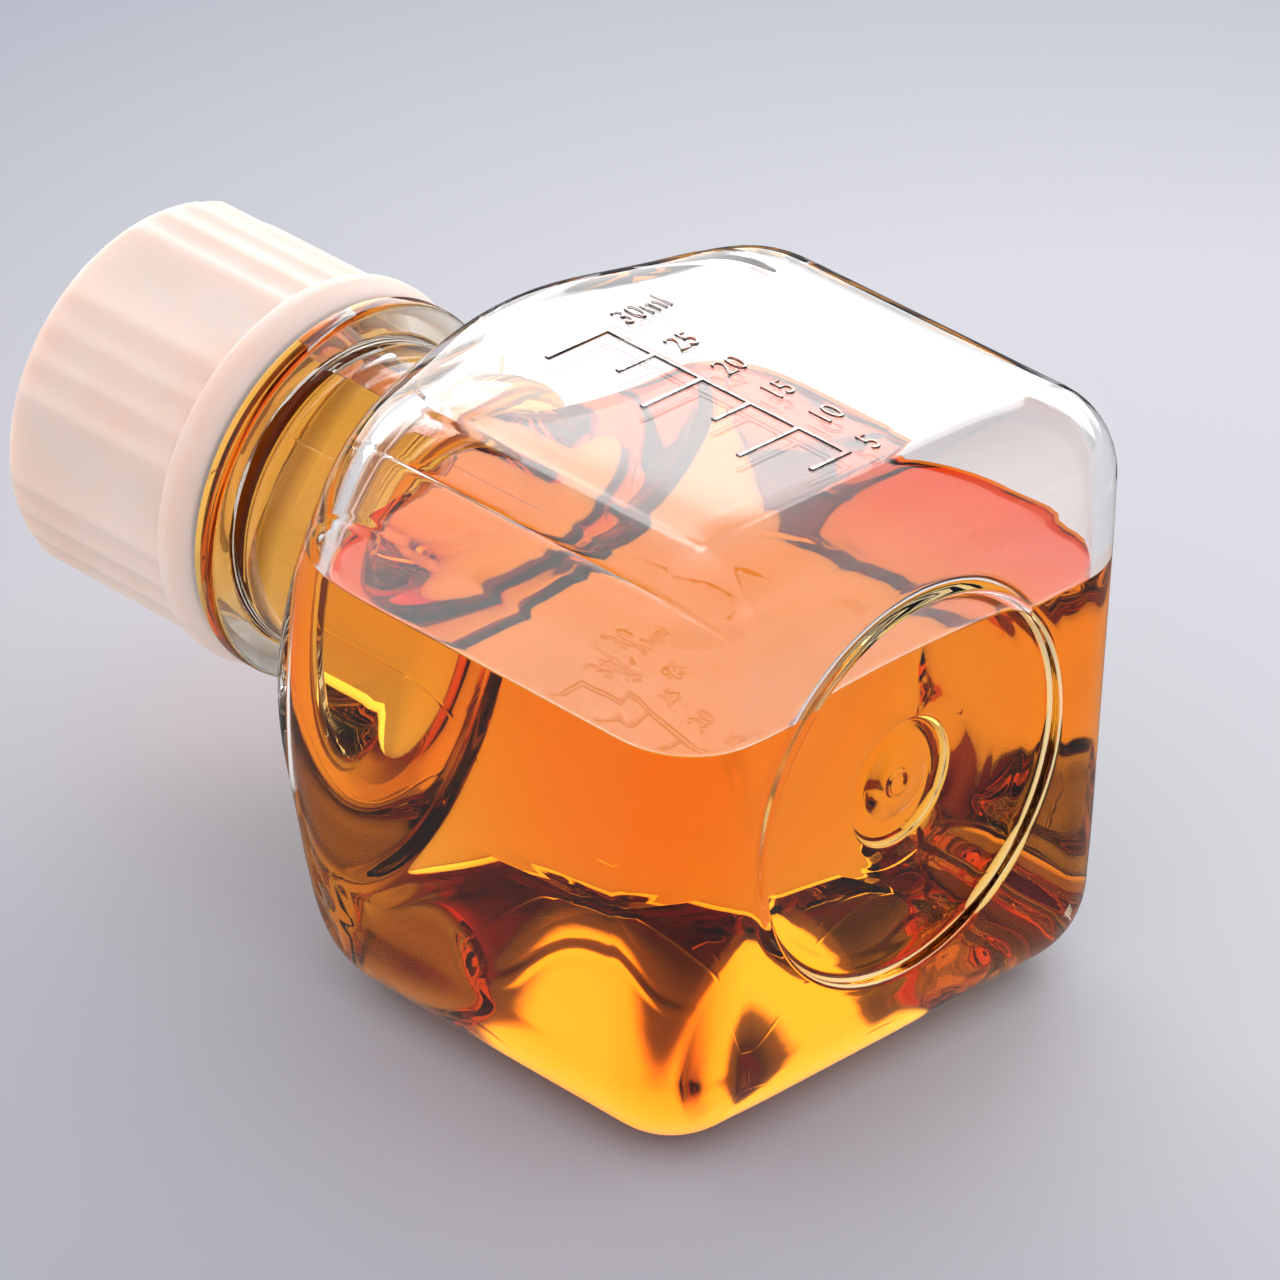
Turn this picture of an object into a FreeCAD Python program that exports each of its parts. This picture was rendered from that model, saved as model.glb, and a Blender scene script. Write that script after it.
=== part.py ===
import FreeCAD, Part
import math
import os

Vector = FreeCAD.Vector

# Square body of the bottle, built standing on its base with the neck upwards
body_width = 38.0
corner_radius = 5.8
base_edge_radius = 5.4
wall = 1.2
base_wall = 1.3

# Shoulder, where the square body closes to a round neck
shoulder_start = 24.5
shoulder_rise = 9.3
shoulder_round = 15.0
side_fullness = 5.0
corner_fullness = 3.2
front_bow = 34.0
shoulder_steps = 8
shoulder_lead = 6.0
shoulder_lead_steps = 4
crown_radius = 14.4
crown_rise = 2.8
crown_depth = 0.3

# Raised centre of the base, seen from outside as a round recess
punt_radius = 12.0
punt_depth = 0.9
punt_crown = 0.4
punt_flat_radius = 5.5
punt_chamfer = 0.5
gate_well_radius = 4.0
gate_well_depth = 0.5
gate_well_chamfer = 0.3
gate_dome_radius = 2.7
gate_dome_height = 0.45

# Neck, support ring and lip
neck_radius = 9.6
neck_wall = 1.3
neck_bare = 8.7
ring_radius = 12.0
ring_thickness = 1.5
ring_chamfer = 0.3
ring_root = 0.7
finish_height = 13.8
lip_chamfer = 0.35

# Screw thread, right-handed
pitch = 3.175
thread_turns = 1.5
thread_depth = 0.9
thread_root_width = 1.6
thread_crest_width = 0.6
thread_embed = 0.2
neck_thread_drop = 2.6
flank_clearance = 0.15
radial_clearance = 0.2

# Screw cap with a scooped and ribbed grip
cap_height = 16.2
cap_wall = 1.4
cap_end_radius = 1.4
cap_end_steps = 4
cap_rim_gap = 0.3
cap_rim_inset = 0.25
cap_band_proud = 0.25
cap_band_height = 2.3
cap_band_slope = 0.7
cap_mouth_chamfer = 0.3
scoop_count = 6
scoop_angle = 26.0
scoop_depth = 0.55
scoop_phase = 36.0
ribs_per_land = 4
rib_top_width = 0.4
rib_groove_depth = 0.2

# Soft sealing disc inside the cap
seal_thickness = 1.2
seal_side_gap = 0.35

# Raised scale on the upper side
scale_first_height = 6.8
scale_step = 3.76
scale_marks = 6
scale_line_width = 0.36
scale_relief = 0.15
scale_embed = 0.3
tick_long = 4.9
tick_short = 3.0

# Surface of the liquid above the side that the bottle lies on
liquid_level = 26.8

# Heights that follow from the sizes above
half_width = body_width / 2
shoulder_top = shoulder_start + shoulder_rise
neck_start = shoulder_top + crown_rise
ring_start = neck_start + neck_bare
ring_top = ring_start + ring_thickness
lip_top = ring_top + finish_height
cap_rim = ring_top + cap_rim_gap
cap_inner_end = lip_top + seal_thickness
cap_outer_end = cap_rim + cap_height
band_top = cap_rim + cap_band_height
bore_radius = neck_radius - neck_wall
cap_bore_radius = neck_radius + thread_depth + radial_clearance
cap_thread_radius = neck_radius + radial_clearance
cap_radius = cap_bore_radius + cap_wall
cap_rim_radius = cap_radius - cap_rim_inset
cap_band_radius = cap_radius + cap_band_proud
neck_thread_start = lip_top - neck_thread_drop - thread_turns * pitch


def arc(start, middle, end):
    return Part.Arc(start, middle, end).toShape()


def line(start, end):
    return Part.LineSegment(start, end).toShape()


def revolve(edges):
    """Solid of revolution about Z from edges in the XZ plane."""
    face = Part.Face(Part.Wire(edges))
    return face.revolve(Vector(0, 0, 0), Vector(0, 0, 1), 360)


def outline(points):
    """Closed outline in the XZ plane through (radius, height) points."""
    corners = [Vector(radius, 0, height) for radius, height in points]
    return [line(a, b) for a, b in zip(corners, corners[1:] + corners[:1])]


def ring_edges(solid, radius, height):
    """Circular edges of a solid at one radius and height."""
    found = []
    for edge in solid.Edges:
        if edge.Degenerated or not isinstance(edge.Curve, Part.Circle):
            continue
        curve = edge.Curve
        same_radius = abs(curve.Radius - radius) < 1e-4
        same_height = abs(curve.Center.z - height) < 1e-4
        if same_radius and same_height:
            found.append(edge)
    return found


def rounded_square(half, centre, bow, height):
    """Square section with round corners and sides bowed by an angle.

    half is the middle of a side, centre the place of a corner's centre along
    both axes, and sides and corners meet in tangent. At centre 0 it is a circle.
    """
    radius = half - centre * (1 + math.tan(bow / 2))
    reach = centre * math.sqrt(2) + radius
    near = centre + radius * math.sin(bow)
    far = centre + radius * math.cos(bow)
    side_start = Vector(far, -near, height)
    side_middle = Vector(half, 0, height)
    side_end = Vector(far, near, height)
    corner_middle = Vector(reach / math.sqrt(2), reach / math.sqrt(2), height)
    corner_end = Vector(near, far, height)
    side = arc(side_start, side_middle, side_end) if bow > 0 else line(side_start, side_end)
    corner = arc(side_end, corner_middle, corner_end)
    edges = []
    for quarter in range(4):
        for edge in (side, corner):
            copy = edge.copy()
            copy.rotate(Vector(0, 0, 0), Vector(0, 0, 1), 90 * quarter)
            edges.append(copy)
    return Part.Wire(edges)


def square_prism(inset, bottom):
    """Straight part of the body with its base edge rounded."""
    section = rounded_square(half_width - inset, half_width - corner_radius, 0, bottom)
    prism = Part.Face(section).extrude(Vector(0, 0, shoulder_start - shoulder_lead - bottom))
    base_edges = [edge for edge in prism.Edges if edge.BoundBox.ZMax < bottom + 1e-4]
    return prism.makeFillet(base_edge_radius - inset, base_edges)


def shoulder(inset):
    """Loft from the square body to a circle round the neck."""
    half = half_width - inset
    rise = shoulder_rise - inset
    front_tangent = math.tan(math.radians(front_bow) / 2)
    sections = []
    for step in range(-shoulder_lead_steps, 1):
        height = shoulder_start + shoulder_lead * step / shoulder_lead_steps
        sections.append(rounded_square(half, half_width - corner_radius, 0, height))
    for step in range(1, shoulder_steps + 1):
        angle = math.pi / 2 * (step / shoulder_steps) ** 2
        climb = math.sin(angle) ** (2 / side_fullness)
        spread = math.cos(angle) ** (2 / side_fullness)
        melt = climb ** corner_fullness
        sections.append(rounded_square(
            shoulder_round + (half - shoulder_round) * spread,
            (half_width - corner_radius) * (1 - melt),
            2 * math.atan(front_tangent * melt),
            shoulder_start + rise * climb))
    return Part.makeLoft(sections, True, False, False, 3)


def crown(inset, top):
    """Neck and the hollow curve by which it rises from the shoulder."""
    low = shoulder_top - inset
    radius = neck_radius - (neck_wall if inset else 0)
    rim = Vector(crown_radius, 0, low)
    root = Vector(radius, 0, neck_start)
    curve = Part.BezierCurve()
    curve.setPoles([rim, Vector(radius, 0, low), root])
    foot = low - crown_depth
    return revolve([
        line(Vector(0, 0, foot), Vector(crown_radius, 0, foot)),
        line(Vector(crown_radius, 0, foot), rim),
        curve.toShape(),
        line(root, Vector(radius, 0, top)),
        line(Vector(radius, 0, top), Vector(0, 0, top)),
        line(Vector(0, 0, top), Vector(0, 0, foot))])


def body_form(inset, bottom, top):
    """Whole outer form of the bottle, or its cavity when inset by the wall."""
    form = square_prism(inset, bottom).fuse(shoulder(inset))
    return form.fuse(crown(inset, top)).removeSplitter()


def punt(offset, lift):
    """Shallow crowned disc with a step at its edge, to be cut from the base."""
    radius = punt_radius + offset
    edge_height = punt_depth + lift
    crown_height = edge_height + punt_crown
    return revolve(outline([
        (0, 0), (radius, 0), (radius, edge_height - punt_chamfer), (radius - punt_chamfer, edge_height),
        (punt_flat_radius, crown_height), (0, crown_height)]))


def gate_well():
    """Round well in the middle of the punt, with a low dome where the gate was."""
    depth = punt_depth + punt_crown + gate_well_depth
    dome = []
    for share in (1.0, 0.8, 0.55, 0.3):
        lift = gate_dome_height * (1 - share * share)
        dome.append((gate_dome_radius * share, depth - lift))
    return revolve(outline([
        (0, 0), (gate_well_radius, 0), (gate_well_radius, depth - gate_well_chamfer),
        (gate_well_radius - gate_well_chamfer, depth)] + dome + [(0, dome[-1][1])]))


def support_ring():
    """Flange that the cap comes down to, with a hollow root under it."""
    hollow = ring_root * (1 - math.sqrt(0.5))
    return revolve(outline([
        (bore_radius, ring_start - ring_root), (neck_radius, ring_start - ring_root),
        (neck_radius + hollow, ring_start - hollow), (neck_radius + ring_root, ring_start),
        (ring_radius - ring_chamfer, ring_start), (ring_radius, ring_start + ring_chamfer),
        (ring_radius, ring_top - ring_chamfer), (ring_radius - ring_chamfer, ring_top),
        (bore_radius, ring_top)]))


def thread(root, crest, start_height):
    """Helical ridge from a root radius to a crest radius, blunt at both ends."""
    inward = -1 if crest < root else 1
    foot = root - inward * thread_embed
    slope = (thread_root_width - thread_crest_width) / 2 / abs(crest - root)
    foot_half = thread_root_width / 2 + slope * thread_embed
    crest_half = thread_crest_width / 2
    helix = Part.makeHelix(pitch, pitch * thread_turns, root)
    profile = Part.Wire(outline([
        (foot, -foot_half), (crest, -crest_half), (crest, crest_half), (foot, foot_half)]))
    ridge = helix.makePipeShell([profile], True, True)
    ridge.translate(Vector(0, 0, start_height))
    return ridge


def scale_ribs():
    """Raised line with a tick at each mark, on the side that faces +X."""
    def rib(low_y, high_y, low_z, high_z):
        depth = scale_embed + scale_relief
        corner = Vector(half_width - scale_embed, low_y, low_z)
        return Part.makeBox(depth, high_y - low_y, high_z - low_z, corner)

    half_line = scale_line_width / 2
    last = scale_first_height + scale_step * (scale_marks - 1)
    ribs = rib(-half_line, half_line, scale_first_height - half_line, last + half_line)
    for mark in range(scale_marks):
        height = scale_first_height + scale_step * mark
        length = tick_long if mark % 2 else tick_short
        ribs = ribs.fuse(rib(-length, half_line, height - half_line, height + half_line))
    return ribs


def cavity():
    """Inside of the bottle up to the lip, over the raised base."""
    space = body_form(wall, base_wall, lip_top)
    return space.cut(punt(wall, base_wall))


def bottle(space):
    shell = body_form(0, 0, lip_top)
    shell = shell.makeChamfer(lip_chamfer, ring_edges(shell, neck_radius, lip_top))
    shell = shell.fuse(support_ring())
    shell = shell.fuse(scale_ribs())
    shell = shell.cut(punt(0, 0)).cut(gate_well())
    shell = shell.fuse(thread(neck_radius, neck_radius + thread_depth, neck_thread_start))
    return shell.cut(space).removeSplitter()


def grip_outline(height):
    """Outline of the grip: scoops between lands that carry narrow ribs."""
    def at(angle, radius):
        turn = math.radians(angle)
        return Vector(radius * math.cos(turn), radius * math.sin(turn), height)

    period = 360 / scoop_count
    rib_angle = math.degrees(rib_top_width / cap_radius)
    land = period - scoop_angle
    groove = (land - ribs_per_land * rib_angle) / (ribs_per_land - 1)
    edges = []
    for index in range(scoop_count):
        angle = scoop_phase + period * index - scoop_angle / 2
        edges.append(arc(
            at(angle, cap_radius),
            at(angle + scoop_angle / 2, cap_radius - scoop_depth),
            at(angle + scoop_angle, cap_radius)))
        angle += scoop_angle
        for rib in range(ribs_per_land):
            edges.append(arc(
                at(angle, cap_radius),
                at(angle + rib_angle / 2, cap_radius),
                at(angle + rib_angle, cap_radius)))
            angle += rib_angle
            if rib < ribs_per_land - 1:
                edges.append(arc(
                    at(angle, cap_radius),
                    at(angle + groove / 2, cap_radius - rib_groove_depth),
                    at(angle + groove, cap_radius)))
                angle += groove
    return Part.Wire(edges)


def cap_outside():
    """Ribbed grip with a rounded end, over a plain band at the rim."""
    grip = Part.Face(grip_outline(band_top)).extrude(Vector(0, 0, cap_outer_end - band_top))
    rounding = []
    for step in range(cap_end_steps + 1):
        angle = math.pi / 2 * step / cap_end_steps
        rounding.append((cap_radius - cap_end_radius * (1 - math.cos(angle)),
                         cap_outer_end - cap_end_radius * (1 - math.sin(angle))))
    envelope = revolve(outline([(0, band_top), (cap_radius, band_top)] + rounding + [(0, cap_outer_end)]))
    grip = grip.common(envelope)
    scoop_floor = cap_radius - scoop_depth
    band = revolve(outline([
        (0, cap_rim), (cap_rim_radius, cap_rim), (cap_band_radius, band_top - cap_band_slope),
        (cap_band_radius, band_top), (scoop_floor, band_top + cap_band_slope),
        (0, band_top + cap_band_slope)]))
    return grip.fuse(band)


def cap():
    bore_length = cap_inner_end - cap_rim
    bore = Part.makeCylinder(cap_bore_radius, bore_length, Vector(0, 0, cap_rim))
    mouth = revolve(outline([
        (0, cap_rim), (cap_bore_radius + cap_mouth_chamfer, cap_rim),
        (cap_bore_radius, cap_rim + cap_mouth_chamfer), (0, cap_rim + cap_mouth_chamfer)]))
    shell = cap_outside().cut(bore).cut(mouth)
    # the lower flank of the neck's thread bears on the upper flank of the cap's
    middle_width = (thread_root_width + thread_crest_width) / 2
    offset = middle_width + flank_clearance
    start = neck_thread_start - offset
    ridge = thread(cap_bore_radius, cap_thread_radius, start)
    return shell.fuse(ridge).removeSplitter()


def seal_disc():
    return Part.makeCylinder(cap_bore_radius - seal_side_gap, seal_thickness, Vector(0, 0, lip_top))


def liquid(space):
    """Filled part of the cavity, with its surface level as the bottle lies."""
    side = 2 * cap_outer_end
    below = Part.makeBox(side, side, side, Vector(liquid_level - half_width - side, -side / 2, -side / 2))
    return space.common(below)


def lay_down(shape):
    """Turn a standing shape onto its side, graduated side up, base towards +X."""
    placement = FreeCAD.Placement(
        Vector(cap_outer_end / 2, 0, half_width),
        FreeCAD.Rotation(Vector(0, 1, 0), -90))
    return shape.transformed(placement.toMatrix(), True)


def main():
    os.makedirs("parts", exist_ok=True)
    space = cavity()
    shapes = {
        "bottle": bottle(space),
        "serum": liquid(space),
        "seal_disc": seal_disc(),
        "cap": cap(),
    }
    for name, shape in shapes.items():
        laid = lay_down(shape)
        laid.exportStep("parts/%s.step" % name)
        box = laid.BoundBox
        print(name, "valid", laid.isValid(), "solids", len(laid.Solids), "volume", round(laid.Volume, 1))
        print("  x", round(box.XMin, 2), round(box.XMax, 2), "y", round(box.YMin, 2), round(box.YMax, 2),
              "z", round(box.ZMin, 2), round(box.ZMax, 2))


main()
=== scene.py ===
import math

import bmesh
import bpy
from mathutils import Matrix, Vector


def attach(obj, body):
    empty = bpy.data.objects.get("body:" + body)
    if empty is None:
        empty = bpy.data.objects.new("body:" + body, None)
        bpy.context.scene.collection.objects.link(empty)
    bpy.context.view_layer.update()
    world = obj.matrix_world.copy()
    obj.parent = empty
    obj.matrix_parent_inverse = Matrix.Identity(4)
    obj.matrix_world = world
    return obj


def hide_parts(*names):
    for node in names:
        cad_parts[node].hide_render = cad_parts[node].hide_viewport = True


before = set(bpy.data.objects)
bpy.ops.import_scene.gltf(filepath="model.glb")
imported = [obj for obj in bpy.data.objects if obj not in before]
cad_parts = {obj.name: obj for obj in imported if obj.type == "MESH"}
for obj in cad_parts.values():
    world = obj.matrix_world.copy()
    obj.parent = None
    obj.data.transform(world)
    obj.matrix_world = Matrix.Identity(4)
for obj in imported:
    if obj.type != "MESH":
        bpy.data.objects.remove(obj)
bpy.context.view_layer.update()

# Sizes of the bottle in millimetres, standing on its base with the neck upwards
MM = 0.001
body_width = 38.0
corner_radius = 5.8
base_edge_radius = 5.4
wall = 1.2
base_wall = 1.3
overall_length = 63.3
half_width = body_width / 2
corner_centre = half_width - corner_radius

# Shoulder and the hollow curve up to the neck
shoulder_start = 24.5
shoulder_rise = 9.3
shoulder_round = 15.0
side_fullness = 5.0
corner_fullness = 3.2
front_bow = math.radians(34)
crown_radius = 14.4
crown_rise = 2.8
shoulder_top = shoulder_start + shoulder_rise
neck_start = shoulder_top + crown_rise

# Recess in the base, with the well and the gate's low dome in its middle
punt_radius = 12.0
punt_depth = 0.9
punt_crown = 0.4
punt_flat_radius = 5.5
punt_fillet = 0.5
punt_rim_round = 0.35
inner_step_run = 2.3
well_radius = 4.0
well_depth = 0.5
well_fillet = 0.4
dome_radius = 2.7
dome_height = 0.45
gate_mark_radius = 0.7
gate_mark_height = 0.05

# Neck, support ring, thread and lip
neck_radius = 9.6
bore_radius = 8.3
ring_start = 45.3
ring_radius = 12.0
ring_thickness = 1.5
ring_round = 0.35
ring_fillet = 0.7
lip_top = 60.6
lip_round = 0.4
pitch = 3.175
thread_turns = 1.5
thread_depth = 0.9
thread_root_width = 1.6
thread_crest_width = 0.6
thread_start = lip_top - 2.6 - thread_turns * pitch

# Screw cap
cap_rim = 47.1
cap_outer_end = overall_length
cap_inner_end = 61.8
cap_radius = 12.1
cap_bore_radius = 10.7
cap_end_radius = 1.4
cap_rim_radius = 11.85
cap_band_radius = 12.35
cap_band_top = cap_rim + 2.3
cap_band_slope = 0.7
cap_mouth_chamfer = 0.3
cap_thread_start = thread_start - (thread_root_width + thread_crest_width) / 2 - 0.15
scoop_count = 6
scoop_angle = 26.0
scoop_depth = 0.55
scoop_phase = 36.0
ribs_per_land = 4
rib_angle = 1.9
rib_groove_depth = 0.2

# Raised scale and digits on the upper side
scale_first = 6.8
scale_step = 3.76
scale_marks = 6
scale_line_width = 0.36
scale_relief = 0.15
scale_embed = 0.3
scale_edge_round = 0.06
scale_volume = 5
tick_long = 4.9
tick_short = 3.0
digit_height = 1.75
digit_font_share = 0.73
digit_narrowing = 0.8
digit_edge_round = 0.04
digit_start = 1.35
digit_drop = 0.75
last_label_lift = 0.45

# Liquid, and its edge where it climbs the wall in narrow bands of (width, fall)
liquid_level = 26.8
liquid_gap = 0.02
meniscus_bands = ((0.12, 0.14), (0.16, 0.09), (0.22, 0.05), (0.3, 0.02))
meniscus_height = sum(fall for _, fall in meniscus_bands)

# Depth and reach of the slight hollow where a flat side meets a corner
corner_ease = 0.1
corner_ease_reach = 2.4

# Parting line along two opposite corners
parting_height = 0.05
parting_half_width = 0.14

# Fineness of the meshes
side_steps = 20
corner_steps = 20
neck_thread_steps = 44
cap_columns = 480
cap_thread_steps = 36

# Wide soft panel of light behind the bottle: its direction, half its width and its top in degrees
panel_direction = Vector((-0.718, 0.696, 0.0))
panel_half_width = 38.0
panel_side_fade = 14.0
panel_top = 38.0
panel_top_fade = 4.0
panel_level = 2.5

# How strongly the upper side bows, in rise per square metre, how far, and where it is fullest.
# The bow comes in between two depths under the side's surface.
side_bow = 0.5
bow_reach = 0.02
bow_middle = Vector((0.010, 0.006, 0.038))
bow_depth_start = 0.0024
bow_depth_full = 0.0002

# How the plastic and the liquid bend light, and what the liquid takes from it
plastic_ior = 1.57
liquid_ior = 1.34
liquid_colour = (1.0, 0.74, 0.05)
liquid_density = 150

# How often light may bounce. Each reflection inside a clear wall counts as a glossy one.
light_bounces = 22
glossy_bounces = 9
diffuse_bounces = 2


def lay_down(bm):
    """Put a standing mesh in millimetres onto its side, base towards +X, in metres."""
    place = (Matrix.Translation(Vector((overall_length / 2, 0, half_width)) * MM)
             @ Matrix.Rotation(math.radians(-90), 4, "Y") @ Matrix.Scale(MM, 4))
    bmesh.ops.transform(bm, matrix=place, verts=bm.verts)


def finish_piece(bm, name, body, materials, replaced=(), sharp_angle=40):
    """Make the piece's object, shade it smooth but for its sharp edges, and let it ride."""
    for face in bm.faces:
        face.smooth = True
    for edge in bm.edges:
        if len(edge.link_faces) == 2 and edge.calc_face_angle() > math.radians(sharp_angle):
            edge.smooth = False
    mesh = bpy.data.meshes.new(name)
    bm.to_mesh(mesh)
    bm.free()
    piece = bpy.data.objects.new(name, mesh)
    bpy.context.scene.collection.objects.link(piece)
    for material in materials:
        mesh.materials.append(material)
    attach(piece, body)
    if replaced:
        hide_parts(*replaced)
    return piece


# Sections of the bottle

def section_columns():
    """Places round a section: quarter, whether on its corner, and the share along it."""
    near_parting = parting_half_width / (corner_radius * math.pi / 2)
    shares = [step / corner_steps for step in range(corner_steps)]
    shares = sorted(shares + [0.5 - near_parting, 0.5 + near_parting])
    columns = []
    for quarter in range(4):
        columns += [(quarter, False, -math.cos(math.pi * step / side_steps)) for step in range(side_steps)]
        columns += [(quarter, True, share) for share in shares]
    return columns


columns = section_columns()


def section(half, centre, bow, height, parting=0.0):
    """Square with round corners and bowed sides, a circle where centre is 0.

    Its sides run softly into the corners, with a slight hollow where they meet.
    """
    radius = half - centre * (1 + math.tan(bow / 2))
    near = centre + radius * math.sin(bow)
    hollow = corner_ease * centre / corner_centre
    points = []
    for quarter, on_corner, share in columns:
        if on_corner:
            angle = bow + (math.pi / 2 - 2 * bow) * share
            ridge = parting if share == 0.5 and quarter % 2 else 0.0
            from_side = radius * math.pi / 2 * min(share, 1 - share)
            reach = radius + ridge - hollow * math.exp(-(from_side / corner_ease_reach) ** 2)
            x = centre + reach * math.cos(angle)
            y = centre + reach * math.sin(angle)
        elif bow < 1e-6:
            from_corner = near * (1 - abs(share))
            x, y = half - hollow * math.exp(-(from_corner / corner_ease_reach) ** 2), near * share
        else:
            side_radius = near / math.sin(bow)
            x = half - side_radius * (1 - math.cos(bow * share))
            y = side_radius * math.sin(bow * share)
        turned = Matrix.Rotation(math.pi / 2 * quarter, 2) @ Vector((x, y))
        points.append(Vector((turned.x, turned.y, height)))
    return points


def circle(radius, height, parting=0.0):
    return section(radius, 0.0, front_bow, height, parting)


def eased(share):
    """Share from 0 to 1 that starts and ends softly."""
    return share * share * (3 - 2 * share)


def between(first, last, steps):
    """Sections spaced evenly between two, with neither of them."""
    found = []
    for step in range(1, steps):
        found.append([a.lerp(b, step / steps) for a, b in zip(first, last)])
    return found


def rounding(centre_radius, centre_height, radius, start, end, steps, parting=0.0):
    """Circles along a quarter round, from one angle to another in degrees."""
    circles = []
    for step in range(steps + 1):
        angle = math.radians(start + (end - start) * step / steps)
        circles.append(circle(centre_radius + radius * math.cos(angle),
                              centre_height + radius * math.sin(angle), parting))
    return circles


def punt_slope(radius, edge_height, steps=8):
    """Circles out along the hollow slope from the flat middle to the step."""
    crown = edge_height + punt_crown
    inner = Vector((punt_flat_radius, crown))
    bend = Vector(((punt_flat_radius + radius) / 2, crown))
    outer = Vector((radius, edge_height))
    circles = []
    for step in range(steps + 1):
        t = step / steps
        place = inner * (1 - t) ** 2 + bend * 2 * t * (1 - t) + outer * t ** 2
        circles.append(circle(place.x, place.y))
    return circles


def base_outside():
    """From the middle of the gate's dome out to the land that the bottle stands on."""
    well_top = punt_depth + punt_crown
    well_floor = well_top + well_depth

    def dome(radius, relief=0.0):
        lift = dome_height * (1 - (radius / dome_radius) ** 2)
        return circle(radius, well_floor - lift - relief)

    sections = [dome(0.15), dome(gate_mark_radius - 0.16)]
    sections += [dome(gate_mark_radius + offset, gate_mark_height) for offset in (-0.08, 0.08)]
    sections += [dome(gate_mark_radius + 0.16)]
    sections += [dome(dome_radius * share) for share in (0.42, 0.54, 0.66, 0.78, 0.89, 0.97)]
    sections += [circle(dome_radius + 0.1, well_floor)]
    sections += rounding(well_radius - well_fillet, well_floor - well_fillet, well_fillet, 90, 0, 4)
    sections += rounding(well_radius + 0.15, well_top + 0.15, 0.15, 180, 270, 3)
    slope = punt_slope(punt_radius, punt_depth)
    sections += slope[:-1]
    sections += rounding(punt_radius - punt_fillet, punt_depth - punt_fillet + 0.02,
                         punt_fillet, 80, 0, 6)
    sections += rounding(punt_radius + punt_rim_round, punt_rim_round,
                         punt_rim_round, 180, 270, 5)
    return sections


def base_edge(inset, bottom, steps=12, parting=0.0):
    """Rounded edge between the base and the sides."""
    radius = base_edge_radius - inset
    sections = []
    for step in range(steps + 1):
        angle = math.pi / 2 * step / steps
        half = half_width - inset - radius * (1 - math.sin(angle))
        sections.append(section(half, corner_centre, 0.0, bottom + radius * (1 - math.cos(angle)),
                                parting * math.sin(angle)))
    return sections


def straight_sides(inset, bottom, steps=10, parting=0.0):
    low = bottom + base_edge_radius - inset
    return [section(half_width - inset, corner_centre, 0.0,
                    low + (shoulder_start - low) * step / steps, parting)
            for step in range(1, steps + 1)]


def shoulder(inset, steps=30, parting=0.0):
    """Sections that close from the square to a circle and turn in towards the neck."""
    half = half_width - inset
    rise = shoulder_rise - inset
    sections = []
    for step in range(1, steps + 1):
        angle = math.pi / 2 * (step / steps) ** 1.5
        climb = math.sin(angle) ** (2 / side_fullness)
        spread = math.cos(angle) ** (2 / side_fullness) if step < steps else 0.0
        melt = climb ** corner_fullness
        sections.append(section(shoulder_round + (half - shoulder_round) * spread,
                                corner_centre * (1 - melt),
                                2 * math.atan(math.tan(front_bow / 2) * melt),
                                shoulder_start + rise * climb, parting))
    return sections


def crown(radius, low, steps=12, parting=0.0):
    """Hollow curve from the shoulder to the neck."""
    rim, root = Vector((crown_radius, low)), Vector((radius, neck_start))
    pole = Vector((radius, low))
    sections = []
    for step in range(steps + 1):
        t = step / steps
        place = rim * (1 - t) ** 2 + pole * 2 * t * (1 - t) + root * t ** 2
        sections.append(circle(place.x, place.y, parting))
    return sections


def thread_lift(height, angle, start):
    """Share of the thread's depth at a height and an angle about the neck."""
    turned = angle % (2 * math.pi)
    best = 0.0
    for turn in range(-1, 4):
        travel = turned / (2 * math.pi) + turn
        if not 0 <= travel <= thread_turns:
            continue
        offset = abs(height - start - travel * pitch)
        flank = (thread_root_width / 2 - offset) / (thread_root_width - thread_crest_width) * 2
        fade = min(1.0, travel * 12, (thread_turns - travel) * 12)
        best = max(best, min(1.0, max(0.0, flank)) * fade)
    return best


def threaded_circle(radius, height, depth, start):
    """Circle whose radius follows the thread's ridge."""
    found = []
    for point in circle(radius, height):
        angle = math.atan2(point.y, point.x)
        reach = radius + thread_lift(height, angle, start) * depth
        found.append(Vector((reach * math.cos(angle), reach * math.sin(angle), height)))
    return found


def neck_outside():
    """Bare neck, support ring, threaded finish and the lip's outer half."""
    ring_top = ring_start + ring_thickness
    bare = ring_start - ring_fillet - neck_start
    sections = [circle(neck_radius, neck_start + bare * step / 6, parting_height) for step in range(1, 6)]
    sections += rounding(neck_radius + ring_fillet, ring_start - ring_fillet, ring_fillet, 180, 90, 6)
    sections += rounding(ring_radius - ring_round, ring_start + ring_round, ring_round, -90, 0, 5)
    sections += rounding(ring_radius - ring_round, ring_top - ring_round, ring_round, 0, 90, 5)
    sections += [circle(neck_radius + 0.15, ring_top), circle(neck_radius, ring_top + 0.15)]
    low, high = thread_start - 1.0, lip_top - lip_round - 0.4
    for step in range(neck_thread_steps + 1):
        height = low + (high - low) * step / neck_thread_steps
        sections.append(threaded_circle(neck_radius, height, thread_depth, thread_start))
    sections += rounding(neck_radius - lip_round, lip_top - lip_round, lip_round, 0, 90, 4)
    return sections


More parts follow.
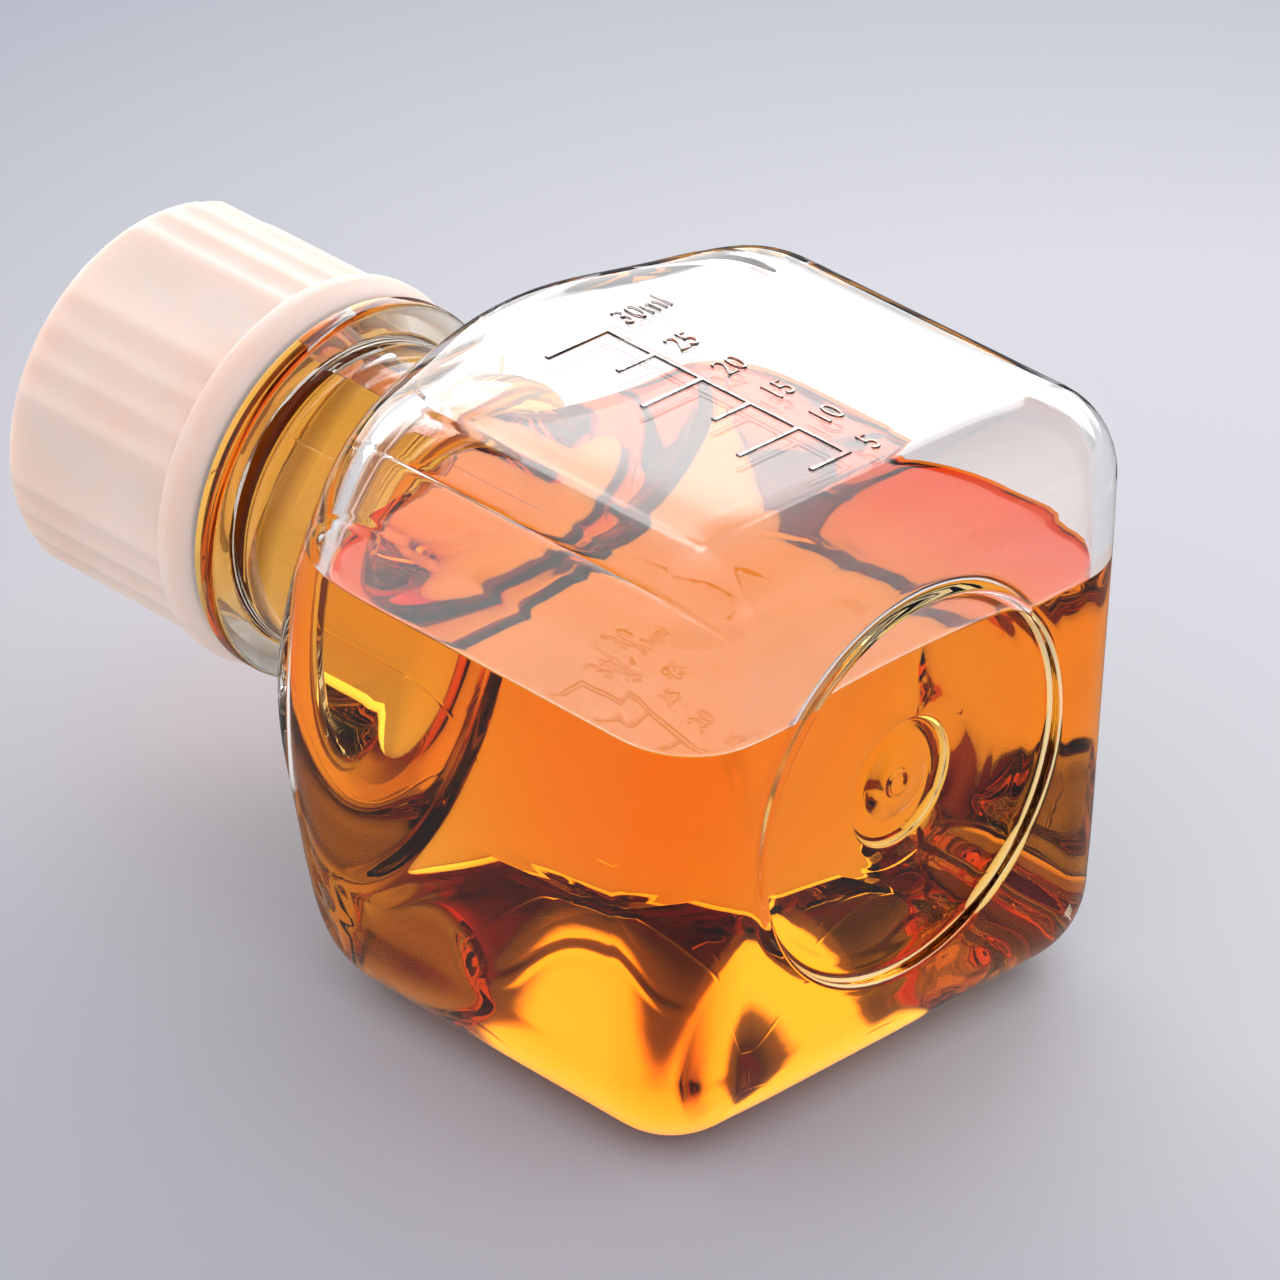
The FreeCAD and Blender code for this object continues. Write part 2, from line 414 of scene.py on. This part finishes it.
def inner_sections(inset_more=0.0, top=lip_top):
    """Cavity from the top of the bore down to the raised middle of the base."""
    inset = wall + inset_more
    radius = bore_radius - inset_more
    bottom = base_wall + inset_more
    low = shoulder_top - inset
    sections = [circle(radius, top), circle(radius, (top + neck_start) / 2)]
    sections += reversed(crown(radius, low))
    sections += reversed(shoulder(inset))
    sections += reversed(straight_sides(inset, bottom))
    edge = base_edge(inset, bottom)
    sections += reversed(edge)
    step_foot = punt_radius + wall + inset_more
    step_head = step_foot - inner_step_run
    step_height = punt_depth + bottom
    sections += between(edge[0], circle(step_foot, bottom), 3)
    for step in range(9):
        share = step / 8
        sections.append(circle(step_foot - inner_step_run * share, bottom + punt_depth * eased(share)))
    sections += reversed(punt_slope(step_head, step_height)[:-1])
    sections += [circle(2.5, step_height + punt_crown), circle(0.2, step_height + punt_crown)]
    return sections


def outer_sections():
    base = base_outside()
    edge = base_edge(0.0, 0.0, parting=parting_height)
    sections = base + between(base[-1], edge[0], 4) + edge
    sections += straight_sides(0.0, 0.0, parting=parting_height)
    sections += shoulder(0.0, parting=parting_height)
    sections += crown(neck_radius, shoulder_top, parting=parting_height)
    return sections + neck_outside()


def loft(sections):
    """Skin through sections with as many points each, closed at both ends."""
    bm = bmesh.new()
    ring = bmesh.ops.create_circle(bm, segments=len(sections[0]), radius=1)["verts"]
    edges = bm.edges[:]
    bmesh.ops.edgeloop_fill(bm, edges=edges)
    for vert, point in zip(ring, sections[0]):
        vert.co = point
    bands = []
    for points in sections[1:]:
        grown = bmesh.ops.extrude_edge_only(bm, edges=edges)["geom"]
        new_verts = {item for item in grown if isinstance(item, bmesh.types.BMVert)}
        edges = [item for item in grown if isinstance(item, bmesh.types.BMEdge)
                 and item.verts[0] in new_verts and item.verts[1] in new_verts]
        bands.append([item for item in grown if isinstance(item, bmesh.types.BMFace)])
        ring = [next(edge.other_vert(vert) for edge in vert.link_edges
                     if edge.other_vert(vert) in new_verts) for vert in ring]
        for vert, point in zip(ring, points):
            vert.co = point
    bmesh.ops.edgeloop_fill(bm, edges=edges)
    bmesh.ops.recalc_face_normals(bm, faces=bm.faces)
    return bm, bands


def scale_outline():
    """Corners of the scale's line with its ticks, as (across, height) points."""
    half = scale_line_width / 2
    last = scale_first + scale_step * (scale_marks - 1)
    corners = [(half, scale_first - half), (half, last + half)]
    for mark in reversed(range(scale_marks)):
        height = scale_first + scale_step * mark
        reach = -(tick_long if mark % 2 else tick_short)
        if mark < scale_marks - 1:
            corners.append((-half, height + half))
        corners += [(reach, height + half), (reach, height - half)]
        if mark:
            corners.append((-half, height - half))
    return corners


def raise_outline(bm, faces, depth, edge_round):
    """Thicken flat faces that look towards +Z, and round their upper edges."""
    raised = bmesh.ops.extrude_face_region(bm, geom=faces, use_keep_orig=True)["geom"]
    top = [item for item in raised if isinstance(item, bmesh.types.BMFace)]
    bmesh.ops.translate(bm, vec=(0, 0, depth), verts=list({v for face in top for v in face.verts}))
    bmesh.ops.recalc_face_normals(bm, faces=bm.faces)
    rim = [edge for edge in bm.edges if len(edge.link_faces) == 2
           and all(vert.co.z > depth - 1e-4 for vert in edge.verts) and edge.calc_face_angle() > 1.0]
    bmesh.ops.bevel(bm, geom=rim, offset=edge_round, segments=2, profile=0.5, affect="EDGES", material=-1)


def scale_ridge():
    """The line and its ticks, lying flat with its height along +Y."""
    bm = bmesh.new()
    face = bm.faces.new([bm.verts.new((across, height, 0)) for across, height in scale_outline()])
    bm.faces.ensure_lookup_table()
    if face.normal.z < 0:
        face.normal_flip()
    raise_outline(bm, [face], scale_embed + scale_relief, scale_edge_round)
    return bm


def digits(words, across, height, size):
    """Raised characters, lying flat with their tops towards +Y."""
    curve = bpy.data.curves.new("digits", "FONT")
    curve.body = words
    curve.size = size / digit_font_share
    curve.resolution_u = 4
    holder = bpy.data.objects.new("digits", curve)
    bpy.context.scene.collection.objects.link(holder)
    bpy.context.view_layer.update()
    mesh = bpy.data.meshes.new_from_object(holder.evaluated_get(bpy.context.evaluated_depsgraph_get()))
    bpy.data.objects.remove(holder)
    bpy.data.curves.remove(curve)
    bm = bmesh.new()
    bm.from_mesh(mesh)
    bpy.data.meshes.remove(mesh)
    bmesh.ops.remove_doubles(bm, verts=bm.verts, dist=1e-4)
    bmesh.ops.dissolve_limit(bm, angle_limit=0.01, verts=bm.verts, edges=bm.edges)
    for face in bm.faces:
        if face.normal.z < 0:
            face.normal_flip()
    place = Matrix.Translation((across, height, 0)) @ Matrix.Diagonal((digit_narrowing, 1, 1, 1))
    bmesh.ops.transform(bm, matrix=place, verts=bm.verts)
    raise_outline(bm, bm.faces[:], scale_embed + scale_relief, digit_edge_round)
    return bm


def raised_marks():
    """Scale and digits as one closed mesh, set on the upper side, standing frame."""
    marks = [scale_ridge()]
    for mark in range(scale_marks):
        height = scale_first + scale_step * mark - digit_drop
        words = str(scale_volume * (mark + 1))
        if mark == scale_marks - 1:
            words += "ml"
            height += last_label_lift
        marks.append(digits(words, digit_start, height, digit_height))
    whole = bmesh.new()
    for bm in marks:
        mesh = bpy.data.meshes.new("part")
        bm.to_mesh(mesh)
        bm.free()
        whole.from_mesh(mesh)
        bpy.data.meshes.remove(mesh)
    # across becomes +Y, height stays +Z and the relief points to +X
    turn = Matrix(((0, 0, 1, half_width - scale_embed), (1, 0, 0, 0), (0, 1, 0, 0), (0, 0, 0, 1)))
    bmesh.ops.transform(whole, matrix=turn, verts=whole.verts)
    bmesh.ops.recalc_face_normals(whole, faces=whole.faces)
    return whole


def unite(bm, other):
    """Union of two closed meshes."""
    holders = []
    for name, source in (("first", bm), ("second", other)):
        mesh = bpy.data.meshes.new(name)
        source.to_mesh(mesh)
        source.free()
        holder = bpy.data.objects.new(name, mesh)
        bpy.context.scene.collection.objects.link(holder)
        holders.append(holder)
    joining = holders[0].modifiers.new("union", "BOOLEAN")
    joining.operation = "UNION"
    joining.solver = "EXACT"
    joining.object = holders[1]
    bpy.context.view_layer.update()
    mesh = bpy.data.meshes.new_from_object(holders[0].evaluated_get(bpy.context.evaluated_depsgraph_get()))
    united = bmesh.new()
    united.from_mesh(mesh)
    bpy.data.meshes.remove(mesh)
    for holder in holders:
        data = holder.data
        bpy.data.objects.remove(holder)
        bpy.data.meshes.remove(data)
    return united


def principled(name, **values):
    material = bpy.data.materials.new(name)
    material.use_nodes = True
    shader = material.node_tree.nodes["Principled BSDF"]
    for socket, value in values.items():
        shader.inputs[socket.replace("_", " ")].default_value = value
    return material, shader


def clear_plastic(name, ior):
    material, shader = principled(name, Transmission_Weight=1.0, IOR=ior, Roughness=0.0)
    shader.inputs["Base Color"].default_value = (1, 1, 1, 1)
    return material


def bowed_plastic(name, ior, top):
    """Clear plastic that bends light as if its upper side, at the height top, were slightly bowed."""
    material = clear_plastic(name, ior)
    tree = material.node_tree
    nodes, links = tree.nodes, tree.links
    place = nodes.new("ShaderNodeTexCoord")
    centred = nodes.new("ShaderNodeVectorMath")
    centred.operation = "SUBTRACT"
    centred.inputs[1].default_value = bow_middle
    links.new(place.outputs["Object"], centred.inputs[0])
    distance = nodes.new("ShaderNodeVectorMath")
    distance.operation = "DOT_PRODUCT"
    links.new(centred.outputs["Vector"], distance.inputs[0])
    links.new(centred.outputs["Vector"], distance.inputs[1])
    rise = nodes.new("ShaderNodeMath")
    rise.operation = "MULTIPLY_ADD"
    rise.inputs[1].default_value = -side_bow
    rise.inputs[2].default_value = side_bow * bow_reach ** 2
    links.new(distance.outputs["Value"], rise.inputs[0])
    parts = nodes.new("ShaderNodeSeparateXYZ")
    links.new(place.outputs["Object"], parts.inputs["Vector"])
    upper_side = nodes.new("ShaderNodeMapRange")
    upper_side.interpolation_type = "SMOOTHSTEP"
    upper_side.inputs["From Min"].default_value = top - bow_depth_start
    upper_side.inputs["From Max"].default_value = top - bow_depth_full
    links.new(parts.outputs["Z"], upper_side.inputs["Value"])
    height = nodes.new("ShaderNodeMath")
    height.operation = "MULTIPLY"
    links.new(rise.outputs["Value"], height.inputs[0])
    links.new(upper_side.outputs["Result"], height.inputs[1])
    bump = nodes.new("ShaderNodeBump")
    bump.inputs["Strength"].default_value = 1.0
    bump.inputs["Distance"].default_value = 1.0
    links.new(height.outputs["Value"], bump.inputs["Height"])
    links.new(bump.outputs["Normal"], nodes["Principled BSDF"].inputs["Normal"])
    return material


def orange_liquid(name, ior):
    material, shader = principled(name, Transmission_Weight=1.0, IOR=ior, Roughness=0.0)
    shader.inputs["Base Color"].default_value = (1, 1, 1, 1)
    tree = material.node_tree
    absorb = tree.nodes.new("ShaderNodeVolumeAbsorption")
    absorb.inputs["Color"].default_value = (*liquid_colour, 1)
    absorb.inputs["Density"].default_value = liquid_density
    tree.links.new(absorb.outputs["Volume"], tree.nodes["Material Output"].inputs["Volume"])
    return material


def moulded_skin(material, clear, cloudy, grain_size, grain_depth):
    """Faint clouding between two colours, and a fine matt grain."""
    tree = material.node_tree
    nodes, links = tree.nodes, tree.links
    shader = nodes["Principled BSDF"]
    place = nodes.new("ShaderNodeTexCoord")
    cloud = nodes.new("ShaderNodeTexNoise")
    cloud.inputs["Scale"].default_value = 160
    cloud.inputs["Detail"].default_value = 3
    links.new(place.outputs["Object"], cloud.inputs["Vector"])
    colour = nodes.new("ShaderNodeValToRGB")
    colour.color_ramp.elements[0].position = 0.35
    colour.color_ramp.elements[0].color = (*clear, 1)
    colour.color_ramp.elements[1].position = 0.7
    colour.color_ramp.elements[1].color = (*cloudy, 1)
    links.new(cloud.outputs["Fac"], colour.inputs["Fac"])
    links.new(colour.outputs["Color"], shader.inputs["Base Color"])
    grain = nodes.new("ShaderNodeTexNoise")
    grain.inputs["Scale"].default_value = 1 / grain_size
    grain.inputs["Detail"].default_value = 2
    links.new(place.outputs["Object"], grain.inputs["Vector"])
    bump = nodes.new("ShaderNodeBump")
    bump.inputs["Strength"].default_value = 0.6
    bump.inputs["Distance"].default_value = grain_depth
    links.new(grain.outputs["Fac"], bump.inputs["Height"])
    links.new(bump.outputs["Normal"], shader.inputs["Normal"])


def milky_plastic(name, reach, forward, clear, cloudy):
    """Translucent polyethylene: light comes through it scattered, and its skin is finely matt."""
    material, shader = principled(name, Roughness=0.5, Specular_IOR_Level=0.3, Subsurface_Weight=1.0,
                                  Subsurface_Scale=reach, Subsurface_Anisotropy=forward)
    shader.inputs["Subsurface Radius"].default_value = (1.0, 0.8, 0.65)
    moulded_skin(material, clear, cloudy, 0.0004, 0.00002)
    return material


def bottle_piece():
    """The whole bottle. Its faces are outside (0), wetted inside (1) or dry inside (2)."""
    outer, inner = outer_sections(), inner_sections()
    bm, bands = loft(outer + inner)
    for band in bands[len(outer):]:
        for face in band:
            face.material_index = 1
    for face in bm.faces:
        if len(face.verts) > 4 and face.calc_center_median().z > base_wall + punt_depth:
            face.material_index = 1
    bm = unite(bm, raised_marks())
    inside = [face for face in bm.faces if face.material_index == 1]
    level = liquid_level + meniscus_height - half_width
    cut = list({*inside, *(e for f in inside for e in f.edges), *(v for f in inside for v in f.verts)})
    bmesh.ops.bisect_plane(bm, geom=cut, plane_co=(level, 0, 0), plane_no=(1, 0, 0), dist=1e-5)
    for face in bm.faces:
        if face.material_index == 1 and face.calc_center_median().x > level:
            face.material_index = 2
    lay_down(bm)
    return finish_piece(bm, "bottle_shell", "bottle",
                        [bowed_plastic("clear_petg", plastic_ior, body_width * MM),
                         clear_plastic("clear_petg_wetted", plastic_ior / liquid_ior),
                         bowed_plastic("clear_petg_inside", plastic_ior, (body_width - wall) * MM)],
                        ("bottle",))


def liquid_piece():
    """The liquid with its level surface, which climbs the wall a little at its edge."""
    bm, _ = loft(inner_sections(liquid_gap, lip_top - liquid_gap))
    level = liquid_level + meniscus_height - half_width
    cut = bmesh.ops.bisect_plane(bm, geom=bm.verts[:] + bm.edges[:] + bm.faces[:], plane_co=(level, 0, 0),
                                 plane_no=(1, 0, 0), clear_outer=True, dist=1e-5)["geom_cut"]
    rim = [item for item in cut if isinstance(item, bmesh.types.BMEdge)]
    surface = bmesh.ops.edgeloop_fill(bm, edges=rim)["faces"]
    for face in surface:
        face.material_index = 1
    for width, fall in meniscus_bands:
        band = bmesh.ops.inset_region(bm, faces=surface, thickness=width, depth=-fall,
                                      use_even_offset=False)["faces"]
        for face in band:
            face.material_index = 1
    lay_down(bm)
    return finish_piece(bm, "liquid", "bottle",
                        [orange_liquid("orange_liquid", 1.0),
                         orange_liquid("orange_liquid_surface", liquid_ior)],
                        ("serum",), sharp_angle=60)


def grip_radius(angle):
    """Radius of the cap's grip at an angle in degrees, with its scoops and narrow ribs."""
    period = 360 / scoop_count
    place = (angle - scoop_phase + scoop_angle / 2) % period
    if place < scoop_angle:
        share = place / scoop_angle * 2 - 1
        return cap_radius - scoop_depth * (1 - share * share)
    groove = (period - scoop_angle - ribs_per_land * rib_angle) / (ribs_per_land - 1)
    place = (place - scoop_angle) % (rib_angle + groove)
    if place < rib_angle:
        return cap_radius
    share = (place - rib_angle) / groove * 2 - 1
    return cap_radius - rib_groove_depth * (1 - share * share)


def cap_piece():
    """The cap, from the middle of its closed end inside to the middle outside."""
    angles = [360 * step / cap_columns for step in range(cap_columns)]

    def ring(height, radius_at):
        found = []
        for angle in angles:
            turn = math.radians(angle)
            radius = radius_at(angle)
            found.append(Vector((radius * math.cos(turn), radius * math.sin(turn), height)))
        return found

    def plain(radius, height):
        return ring(height, lambda angle: radius)

    bore = [plain(0.3, cap_inner_end), plain(cap_bore_radius * 0.6, cap_inner_end),
            plain(cap_bore_radius - 0.2, cap_inner_end), plain(cap_bore_radius, cap_inner_end - 0.2)]
    low, high = cap_thread_start - 1.0, cap_thread_start + thread_turns * pitch + 1.0
    for step in range(cap_thread_steps + 1):
        height = high + (low - high) * step / cap_thread_steps
        bore.append(ring(height, lambda angle: cap_bore_radius - thread_depth * thread_lift(
            height, math.radians(angle), cap_thread_start)))
    bore += [plain(cap_bore_radius, cap_rim + cap_mouth_chamfer),
             plain(cap_bore_radius + cap_mouth_chamfer, cap_rim)]
    sections = [plain(cap_rim_radius - 0.15, cap_rim), plain(cap_rim_radius, cap_rim + 0.15)]
    slope_start = cap_band_top - cap_band_slope
    for share in (0.35, 0.7, 0.92):
        sections.append(plain(cap_rim_radius + (cap_band_radius - cap_rim_radius) * share,
                              cap_rim + 0.15 + (slope_start - cap_rim - 0.15) * share))
    sections.append(plain(cap_band_radius, slope_start))
    steps = 8
    for step in range(1, steps + 1):
        height = slope_start + (cap_band_top + cap_band_slope - slope_start) * step / steps
        share = max(0.0, (height - cap_band_top + 0.1) / (cap_band_slope + 0.1))
        least = cap_band_radius - (cap_band_radius - cap_radius + scoop_depth) * eased(share)
        sections.append(ring(height, lambda angle: max(least, grip_radius(angle))))
    steps = 8
    start, end = cap_band_top + cap_band_slope, cap_outer_end - cap_end_radius
    for step in range(1, steps + 1):
        sections.append(ring(start + (end - start) * step / steps, grip_radius))
    steps = 7
    for step in range(1, steps + 1):
        turn = math.pi / 2 * step / steps
        limit = cap_radius - cap_end_radius * (1 - math.cos(turn))
        height = end + cap_end_radius * math.sin(turn)
        sections.append(ring(height, lambda angle: min(limit, grip_radius(angle))))
    sections += [plain(7.0, cap_outer_end), plain(0.3, cap_outer_end)]
    bm, bands = loft(bore + sections)
    for band in bands[:len(bore)]:
        for face in band:
            face.material_index = 1
    lay_down(bm)
    # Both colours are the milky plastic's pale tone plus a painted peach glow from the orange liquid
    # inside. The redder scatter radius set in milky_plastic adds to that glow.
    skin = milky_plastic("milky_polyethylene", 0.0017, 0.0, (1.0, 0.72, 0.65), (1.0, 0.66, 0.57))
    # Brighter copy of the cap's plastic with a wider, forward scatter, for the inside faces: a painted
    # glow, as if lit through the wall from outside.
    painted_glow_bore = milky_plastic("painted_glow_polyethylene_bore", 0.02, 0.8, (1.0, 0.84, 0.74), (1.0, 0.80, 0.70))
    return finish_piece(bm, "cap_shell", "cap", [skin, painted_glow_bore], ("cap",),
                        sharp_angle=50)


def seal_finish():
    """Finish of the hidden sealing disc."""
    material, _ = principled("soft_seal", Roughness=0.6)
    moulded_skin(material, (0.88, 0.85, 0.79), (0.82, 0.79, 0.73), 0.0006, 0.00003)
    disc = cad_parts["seal_disc"]
    disc.data.materials.clear()
    disc.data.materials.append(material)


def floor():
    """Pale floor. Glass, gloss and diffuse light see it glow, brightest round the bottle: a painted pool
    of light that also lights the bottle and cap from below. The camera sees it with the bottle's shadow.
    """
    bm = bmesh.new()
    bmesh.ops.create_grid(bm, x_segments=1, y_segments=1, size=3.0)
    mesh = bpy.data.meshes.new("floor")
    bm.to_mesh(mesh)
    bm.free()
    plane = bpy.data.objects.new("floor", mesh)
    bpy.context.scene.collection.objects.link(plane)
    plane.location.z = -0.00002
    material, shader = principled("pale_floor", Roughness=0.6)
    tree = material.node_tree

    def painted_light_pool(middle, reach, outer, outer_at, inner, inner_at):
        """Painted pool of light: colour that changes outwards from a point on the floor."""
        gradient = tree.nodes.new("ShaderNodeTexGradient")
        gradient.gradient_type = "SPHERICAL"
        place = tree.nodes.new("ShaderNodeTexCoord")
        spread = tree.nodes.new("ShaderNodeMapping")
        spread.vector_type = "TEXTURE"
        spread.inputs["Location"].default_value = (*middle, 0)
        spread.inputs["Scale"].default_value = (reach, reach, reach)
        tree.links.new(place.outputs["Object"], spread.inputs["Vector"])
        tree.links.new(spread.outputs["Vector"], gradient.inputs["Vector"])
        ramp = tree.nodes.new("ShaderNodeValToRGB")
        ramp.color_ramp.elements[0].color = (*outer, 1)
        ramp.color_ramp.elements[0].position = outer_at
        ramp.color_ramp.elements[1].color = (*inner, 1)
        ramp.color_ramp.elements[1].position = inner_at
        tree.links.new(gradient.outputs["Fac"], ramp.inputs["Fac"])
        return ramp

    # Painted pool of light: the floor the camera sees is lighter round the bottle and darker further out.
    colour = painted_light_pool((0.01, 0.05), 0.16, (0.35, 0.365, 0.43), 0.3, (0.58, 0.585, 0.63), 0.7)
    tree.links.new(colour.outputs["Color"], shader.inputs["Base Color"])
    # The floor's glow, brightest round the bottle, is a painted pool of light. Diffuse and transmission
    # rays see it at full strength, glossy rays at a fifth.
    ramp = painted_light_pool((0, 0), 0.08, (0.72, 0.72, 0.76), 0.1, (1.0, 1.0, 1.0), 0.6)
    path = tree.nodes.new("ShaderNodeLightPath")
    shader_now = shader.outputs["BSDF"]
    for kind, strength in (("Is Diffuse Ray", 1.0), ("Is Glossy Ray", 0.2), ("Is Transmission Ray", 1.0)):
        glow = tree.nodes.new("ShaderNodeEmission")
        glow.inputs["Strength"].default_value = strength
        tree.links.new(ramp.outputs["Color"], glow.inputs["Color"])
        mix = tree.nodes.new("ShaderNodeMixShader")
        tree.links.new(path.outputs[kind], mix.inputs["Fac"])
        tree.links.new(shader_now, mix.inputs[1])
        tree.links.new(glow.outputs["Emission"], mix.inputs[2])
        shader_now = mix.outputs["Shader"]
    tree.links.new(shader_now, tree.nodes["Material Output"].inputs["Surface"])
    mesh.materials.append(material)


def studio():
    """Soft even sky with one wide panel of light behind the bottle."""
    world = bpy.data.worlds.new("studio")
    world.use_nodes = True
    tree = world.node_tree
    nodes, links = tree.nodes, tree.links
    background = nodes["Background"]
    place = nodes.new("ShaderNodeTexCoord")
    parts = nodes.new("ShaderNodeSeparateXYZ")
    links.new(place.outputs["Generated"], parts.inputs["Vector"])

    def fade(value, start, end, low=0.0):
        ramp = nodes.new("ShaderNodeMapRange")
        ramp.interpolation_type = "SMOOTHSTEP"
        ramp.inputs["From Min"].default_value = start
        ramp.inputs["From Max"].default_value = end
        ramp.inputs["To Min"].default_value = low
        links.new(value, ramp.inputs["Value"])
        return ramp.outputs["Result"]

    def sky(level, overhead):
        ramp = nodes.new("ShaderNodeValToRGB")
        ramp.color_ramp.elements[0].position = 0.4
        ramp.color_ramp.elements[0].color = (level, level, level, 1)
        ramp.color_ramp.elements[1].position = 0.75
        ramp.color_ramp.elements[1].color = (overhead, overhead, overhead * 1.04, 1)
        links.new(parts.outputs["Z"], ramp.inputs["Fac"])
        return ramp.outputs["Color"]

    facing = nodes.new("ShaderNodeVectorMath")
    facing.operation = "DOT_PRODUCT"
    facing.inputs[1].default_value = panel_direction
    links.new(place.outputs["Generated"], facing.inputs[0])

    # gloss and clear plastic see a room that darkens overhead and towards its front
    front = fade(facing.outputs["Value"], -0.5, 0.4, low=0.35)
    room = nodes.new("ShaderNodeVectorMath")
    room.operation = "SCALE"
    links.new(sky(0.6, 0.08), room.inputs["Vector"])
    links.new(front, room.inputs["Scale"])
    path = nodes.new("ShaderNodeLightPath")
    seen = nodes.new("ShaderNodeMix")
    seen.data_type = "RGBA"
    links.new(path.outputs["Is Diffuse Ray"], seen.inputs["Factor"])
    links.new(room.outputs["Vector"], seen.inputs["A"])
    links.new(sky(1.3, 1.0), seen.inputs["B"])
    sides = fade(facing.outputs["Value"], math.cos(math.radians(panel_half_width + panel_side_fade)),
                 math.cos(math.radians(panel_half_width)))
    top = fade(parts.outputs["Z"], math.sin(math.radians(panel_top)),
               math.sin(math.radians(panel_top - panel_top_fade)))
    panel = nodes.new("ShaderNodeMath")
    panel.operation = "MULTIPLY"
    links.new(sides, panel.inputs[0])
    links.new(top, panel.inputs[1])
    panel_light = nodes.new("ShaderNodeMath")
    panel_light.operation = "MULTIPLY"
    panel_light.inputs[1].default_value = panel_level
    links.new(panel.outputs["Value"], panel_light.inputs[0])
    level = nodes.new("ShaderNodeVectorMath")
    level.operation = "ADD"
    links.new(seen.outputs["Result"], level.inputs[0])
    links.new(panel_light.outputs["Value"], level.inputs[1])
    links.new(level.outputs["Vector"], background.inputs["Color"])
    bpy.context.scene.world = world


def camera():
    """Camera at the photograph's place: 46 degrees round, 29 degrees up, slightly rolled."""
    turn, lift, roll = math.radians(45.925), math.radians(29.108), math.radians(1.302)
    target = Vector((-26.71, 0, 19)) * MM
    distance, focal_px, picture = 0.5862, 9774, 1280
    target_px = Vector((204.83, 412.60))
    back = Vector((math.sin(turn) * math.cos(lift), -math.cos(turn) * math.cos(lift), math.sin(lift)))
    level = Vector((math.cos(turn), math.sin(turn), 0))
    upright = back.cross(level)
    right = level * math.cos(roll) + upright * math.sin(roll)
    up = upright * math.cos(roll) - level * math.sin(roll)
    # turn the view so that the picture's middle, and not the target, is on the axis
    ahead = (right * (picture / 2 - target_px.x) - up * (picture / 2 - target_px.y)) / focal_px - back
    axis = -ahead.normalized()
    across = (right - axis * right.dot(axis)).normalized()
    rise = axis.cross(across)
    data = bpy.data.cameras.new("camera")
    data.sensor_width = 36
    data.lens = focal_px * 36 / picture
    data.clip_start, data.clip_end = 0.05, 20
    holder = bpy.data.objects.new("camera", data)
    bpy.context.scene.collection.objects.link(holder)
    holder.matrix_world = Matrix.Translation(target + back * distance) @ Matrix(
        (across, rise, axis)).transposed().to_4x4()
    bpy.context.scene.camera = holder


bottle_piece()
liquid_piece()
cap_piece()
seal_finish()
floor()
studio()
camera()
bpy.context.scene.view_settings.view_transform = "Standard"
cycles = bpy.context.scene.cycles
cycles.max_bounces = light_bounces
cycles.transmission_bounces = light_bounces
cycles.glossy_bounces = glossy_bounces
cycles.diffuse_bounces = diffuse_bounces
